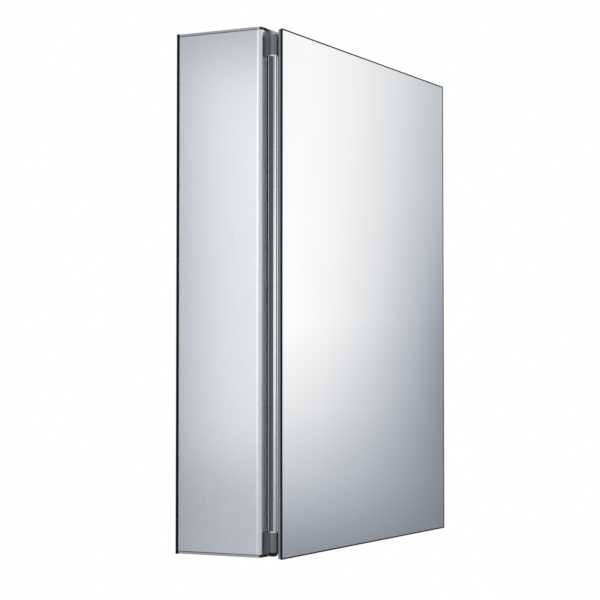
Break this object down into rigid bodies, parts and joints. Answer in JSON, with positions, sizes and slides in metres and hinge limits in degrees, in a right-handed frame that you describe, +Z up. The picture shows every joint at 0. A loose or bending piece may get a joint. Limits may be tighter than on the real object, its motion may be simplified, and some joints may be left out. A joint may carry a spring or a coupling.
{
  "type": "medicine cabinet",
  "caption": "Shallow wall cabinet with brushed aluminium sides, an overhanging frameless mirrored door hinged on the left, mirrored back and glass shelves.",
  "frame": {"origin": "centre of the back face of the cabinet, on the wall plane", "axes": "+X to the right seen from the front, +Z up, +Y into the wall, so the mirror faces -Y"},
  "size_m": [0.5585, 0.154, 0.7025],
  "materials": {
    "brushed_aluminium": "fine brushed, clear anodised",
    "end_plate_aluminium": "satin anodised",
    "satin_aluminium": "satin anodised",
    "bright_aluminium": "bright anodised",
    "mirror_glass": "silvered float glass",
    "clear_glass": "clear with polished edges",
    "cast_zinc": "satin die-cast",
    "steel": "nickel plated",
    "black_rubber": "matt",
    "black_edging": "satin black",
    "grey_panel": "aluminium composite, satin grey coating",
    "white_nylon": "moulded",
    "clear_silicone": "translucent",
    "magnet": "dull dark grey"
  },
  "bodies": {
    "cabinet": {"left_side_profile": "brushed_aluminium", "right_side_profile": "brushed_aluminium", "top_plate": "end_plate_aluminium", "bottom_plate": "end_plate_aluminium", "top_face_rail": "satin_aluminium", "bottom_face_rail": "satin_aluminium", "left_side_liner": "satin_aluminium", "right_side_liner": "satin_aluminium", "top_liner": "satin_aluminium", "bottom_liner": "satin_aluminium", "back_mirror": "mirror_glass", "lower_shelf": "clear_glass", "middle_shelf": "clear_glass", "upper_shelf": "clear_glass", "top_hinge_bracket": "cast_zinc", "bottom_hinge_bracket": "cast_zinc", "hinge_pins": "steel", "plate_screws": "steel", "panel_rivets": "steel", "hinge_bracket_screws": "steel", "catch_screws": "steel", "lower_shelf_pins": "steel", "middle_shelf_pins": "steel", "upper_shelf_pins": "steel", "wall_gasket": "black_rubber", "top_seal": "black_rubber", "bottom_seal": "black_rubber", "back_panel": "grey_panel", "hole_grommets": "white_nylon", "magnet_catch": "white_nylon", "shelf_pads": "clear_silicone", "door_bumpers": "clear_silicone", "catch_magnet": "magnet"},
    "door": {"door_mirror": "mirror_glass", "mirror_edge_trim": "black_edging", "door_backing_panel": "grey_panel", "hinge_stile": "bright_aluminium", "latch_stile": "bright_aluminium", "door_top_rail": "bright_aluminium", "door_bottom_rail": "bright_aluminium", "corner_keys": "cast_zinc", "corner_key_screws": "steel", "inner_door_mirror": "mirror_glass", "hinge_bushes": "white_nylon", "strike_plate": "steel", "strike_screws": "steel"}
  },
  "joints": [
    {"name": "door_hinge", "type": "hinge", "parent": "cabinet", "child": "door", "pos_m": [-0.26265, -0.1417, 0], "axis": [0, 0, -1], "range_deg": [0, 135]}
  ]
}
